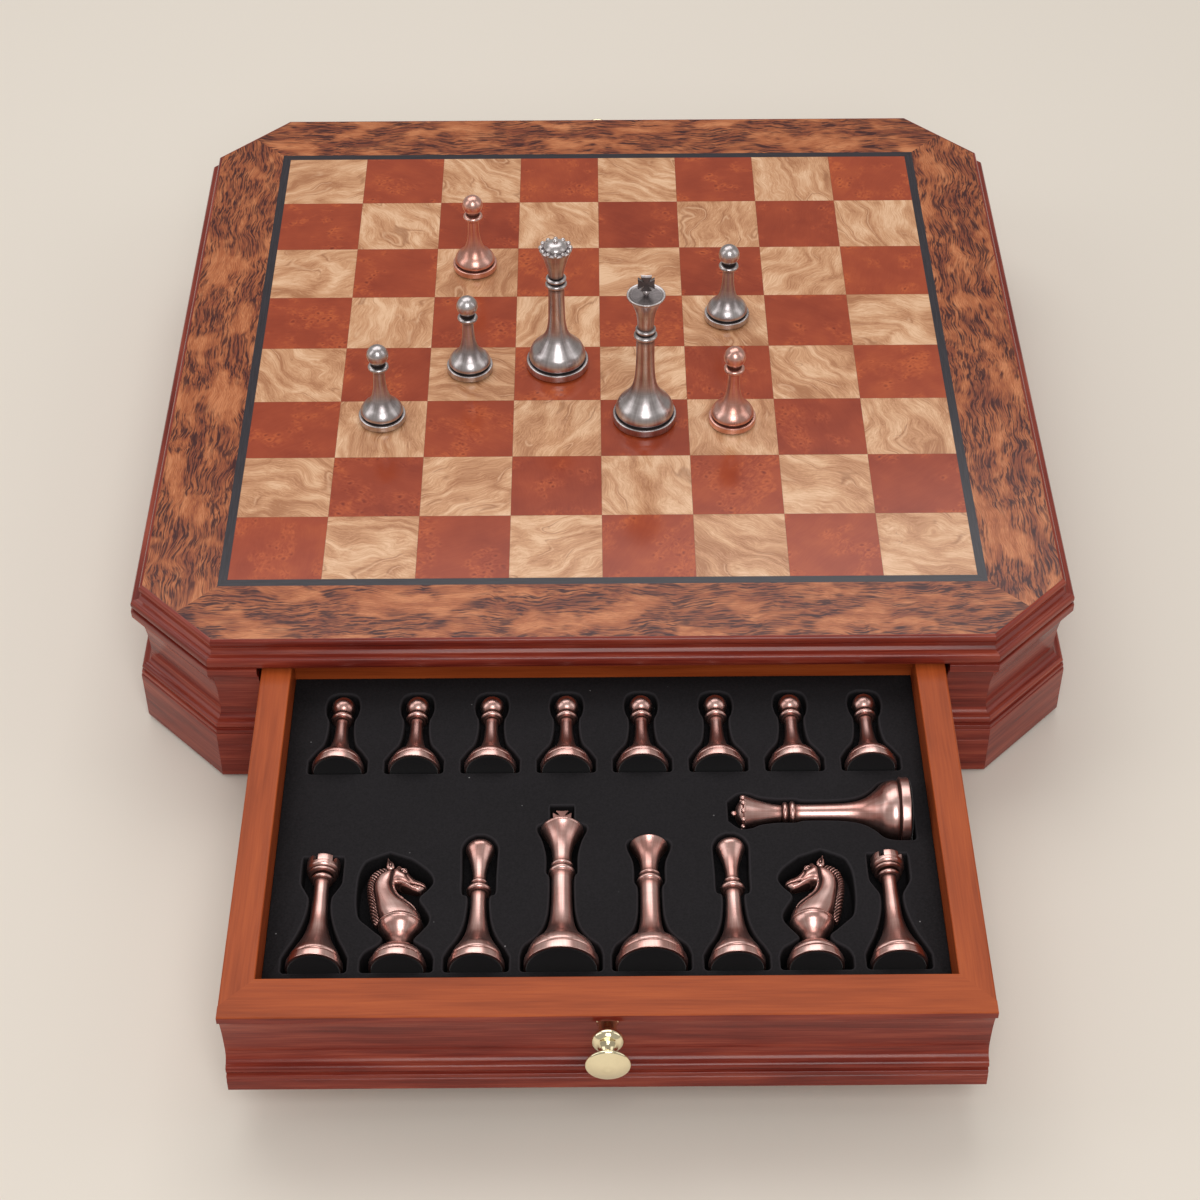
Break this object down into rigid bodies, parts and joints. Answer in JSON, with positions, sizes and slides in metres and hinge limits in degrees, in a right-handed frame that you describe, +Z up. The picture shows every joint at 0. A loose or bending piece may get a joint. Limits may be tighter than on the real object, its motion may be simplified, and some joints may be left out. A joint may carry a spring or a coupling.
{
  "type": "chess box with drawers",
  "caption": "Octagonal chess board on a moulded wooden case with foam-lined storage drawers front and rear, a brass knob on each, and a set of turned metal chessmen.",
  "frame": {"origin": "centre of the case's underside, in the plane the four felt feet stand on, midway between them", "axes": "+Z up, perpendicular to the board; +Y towards the rear of the case, along the drawers' slides, so the front drawer opens towards -Y; +X to the right of somebody facing the front drawer"},
  "size_m": [0.4052, 0.619, 0.158],
  "materials": {
    "raw_wood": "plain unfinished softwood",
    "burl_veneer": "burl veneer under gloss lacquer",
    "dark_inlay": "dyed veneer under gloss lacquer",
    "light_veneer": "pale burl veneer under gloss lacquer",
    "red_veneer": "red-brown burl veneer under gloss lacquer",
    "dark_lacquer": "dark red-brown gloss lacquer",
    "drawer_wood": "orange-brown gloss lacquer",
    "black_foam": "matt flocked foam",
    "black_felt": "matt felt",
    "screw_steel": "zinc-plated",
    "knob_brass": "polished",
    "dark_copper": "satin antique copper plate on cast alloy",
    "bright_copper": "satin lighter copper plate on cast alloy",
    "pewter": "satin pewter plate on cast alloy"
  },
  "bodies": {
    "case": {"top_core": "raw_wood", "burl_border": "burl_veneer", "inlay_line": "dark_inlay", "light_squares": "light_veneer", "dark_squares": "red_veneer", "edge_moulding": "dark_lacquer", "side_mouldings": "dark_lacquer", "corner_mouldings": "dark_lacquer", "opening_stiles": "dark_lacquer", "plinth_rails": "dark_lacquer", "base_panel": "raw_wood", "inner_walls": "raw_wood", "divider": "raw_wood", "glue_blocks": "raw_wood", "base_screws": "screw_steel", "foot_pads": "black_felt"},
    "front_drawer": {"front_drawer_face": "dark_lacquer", "front_drawer_sides": "drawer_wood", "front_drawer_back": "drawer_wood", "front_drawer_bottom": "raw_wood", "front_foam": "black_foam", "front_knob": "knob_brass", "front_knob_screw": "screw_steel"},
    "rear_drawer": {"rear_drawer_face": "dark_lacquer", "rear_drawer_sides": "drawer_wood", "rear_drawer_back": "drawer_wood", "rear_drawer_bottom": "raw_wood", "rear_foam": "black_foam", "rear_knob": "knob_brass", "rear_knob_screw": "screw_steel", "silver_spare_queen": "pewter", "silver_king_and_plain_queen": "pewter", "silver_rooks": "pewter", "silver_knights": "pewter", "silver_bishops": "pewter", "silver_pawns": "pewter"},
    "copper_rook_left": {"copper_rook_left": "dark_copper"},
    "copper_knight_left": {"copper_knight_left": "dark_copper"},
    "copper_bishop_left": {"copper_bishop_left": "dark_copper"},
    "copper_king": {"copper_king": "dark_copper"},
    "copper_plain_queen": {"copper_plain_queen": "dark_copper"},
    "copper_bishop_right": {"copper_bishop_right": "dark_copper"},
    "copper_knight_right": {"copper_knight_right": "dark_copper"},
    "copper_rook_right": {"copper_rook_right": "dark_copper"},
    "copper_queen": {"copper_queen": "dark_copper"},
    "copper_pawn_1": {"copper_pawn_1": "dark_copper"},
    "copper_pawn_2": {"copper_pawn_2": "dark_copper"},
    "copper_pawn_3": {"copper_pawn_3": "dark_copper"},
    "copper_pawn_4": {"copper_pawn_4": "dark_copper"},
    "copper_pawn_5": {"copper_pawn_5": "dark_copper"},
    "copper_pawn_6": {"copper_pawn_6": "dark_copper"},
    "copper_pawn_7": {"copper_pawn_7": "dark_copper"},
    "copper_pawn_8": {"copper_pawn_8": "dark_copper"},
    "bright_pawn_1": {"bright_pawn_1": "bright_copper"},
    "bright_pawn_2": {"bright_pawn_2": "bright_copper"},
    "silver_king": {"silver_king": "pewter"},
    "silver_queen": {"silver_queen": "pewter"},
    "silver_pawn_1": {"silver_pawn_1": "pewter"},
    "silver_pawn_2": {"silver_pawn_2": "pewter"},
    "silver_pawn_3": {"silver_pawn_3": "pewter"}
  },
  "joints": [
    {"name": "front_drawer_slide", "type": "slide", "parent": "case", "child": "front_drawer", "axis": [0, -1, 0], "range_m": [-0.178, 0]},
    {"name": "rear_drawer_slide", "type": "slide", "parent": "case", "child": "rear_drawer", "axis": [0, 1, 0], "range_m": [0, 0.178]},
    {"name": "lift_copper_rook_left", "type": "slide", "parent": "front_drawer", "child": "copper_rook_left", "axis": [0, 0, 1], "range_m": [0, 0.1]},
    {"name": "lift_copper_knight_left", "type": "slide", "parent": "front_drawer", "child": "copper_knight_left", "axis": [0, 0, 1], "range_m": [0, 0.1]},
    {"name": "lift_copper_bishop_left", "type": "slide", "parent": "front_drawer", "child": "copper_bishop_left", "axis": [0, 0, 1], "range_m": [0, 0.1]},
    {"name": "lift_copper_king", "type": "slide", "parent": "front_drawer", "child": "copper_king", "axis": [0, 0, 1], "range_m": [0, 0.1]},
    {"name": "lift_copper_plain_queen", "type": "slide", "parent": "front_drawer", "child": "copper_plain_queen", "axis": [0, 0, 1], "range_m": [0, 0.1]},
    {"name": "lift_copper_bishop_right", "type": "slide", "parent": "front_drawer", "child": "copper_bishop_right", "axis": [0, 0, 1], "range_m": [0, 0.1]},
    {"name": "lift_copper_knight_right", "type": "slide", "parent": "front_drawer", "child": "copper_knight_right", "axis": [0, 0, 1], "range_m": [0, 0.1]},
    {"name": "lift_copper_rook_right", "type": "slide", "parent": "front_drawer", "child": "copper_rook_right", "axis": [0, 0, 1], "range_m": [0, 0.1]},
    {"name": "lift_copper_queen", "type": "slide", "parent": "front_drawer", "child": "copper_queen", "axis": [0, 0, 1], "range_m": [0, 0.1]},
    {"name": "lift_copper_pawn_1", "type": "slide", "parent": "front_drawer", "child": "copper_pawn_1", "axis": [0, 0, 1], "range_m": [0, 0.1]},
    {"name": "lift_copper_pawn_2", "type": "slide", "parent": "front_drawer", "child": "copper_pawn_2", "axis": [0, 0, 1], "range_m": [0, 0.1]},
    {"name": "lift_copper_pawn_3", "type": "slide", "parent": "front_drawer", "child": "copper_pawn_3", "axis": [0, 0, 1], "range_m": [0, 0.1]},
    {"name": "lift_copper_pawn_4", "type": "slide", "parent": "front_drawer", "child": "copper_pawn_4", "axis": [0, 0, 1], "range_m": [0, 0.1]},
    {"name": "lift_copper_pawn_5", "type": "slide", "parent": "front_drawer", "child": "copper_pawn_5", "axis": [0, 0, 1], "range_m": [0, 0.1]},
    {"name": "lift_copper_pawn_6", "type": "slide", "parent": "front_drawer", "child": "copper_pawn_6", "axis": [0, 0, 1], "range_m": [0, 0.1]},
    {"name": "lift_copper_pawn_7", "type": "slide", "parent": "front_drawer", "child": "copper_pawn_7", "axis": [0, 0, 1], "range_m": [0, 0.1]},
    {"name": "lift_copper_pawn_8", "type": "slide", "parent": "front_drawer", "child": "copper_pawn_8", "axis": [0, 0, 1], "range_m": [0, 0.1]},
    {"name": "lift_bright_pawn_1", "type": "slide", "parent": "case", "child": "bright_pawn_1", "axis": [0, 0, 1], "range_m": [0, 0.1]},
    {"name": "lift_bright_pawn_2", "type": "slide", "parent": "case", "child": "bright_pawn_2", "axis": [0, 0, 1], "range_m": [0, 0.1]},
    {"name": "lift_silver_king", "type": "slide", "parent": "case", "child": "silver_king", "axis": [0, 0, 1], "range_m": [0, 0.1]},
    {"name": "lift_silver_queen", "type": "slide", "parent": "case", "child": "silver_queen", "axis": [0, 0, 1], "range_m": [0, 0.1]},
    {"name": "lift_silver_pawn_1", "type": "slide", "parent": "case", "child": "silver_pawn_1", "axis": [0, 0, 1], "range_m": [0, 0.1]},
    {"name": "lift_silver_pawn_2", "type": "slide", "parent": "case", "child": "silver_pawn_2", "axis": [0, 0, 1], "range_m": [0, 0.1]},
    {"name": "lift_silver_pawn_3", "type": "slide", "parent": "case", "child": "silver_pawn_3", "axis": [0, 0, 1], "range_m": [0, 0.1]}
  ]
}
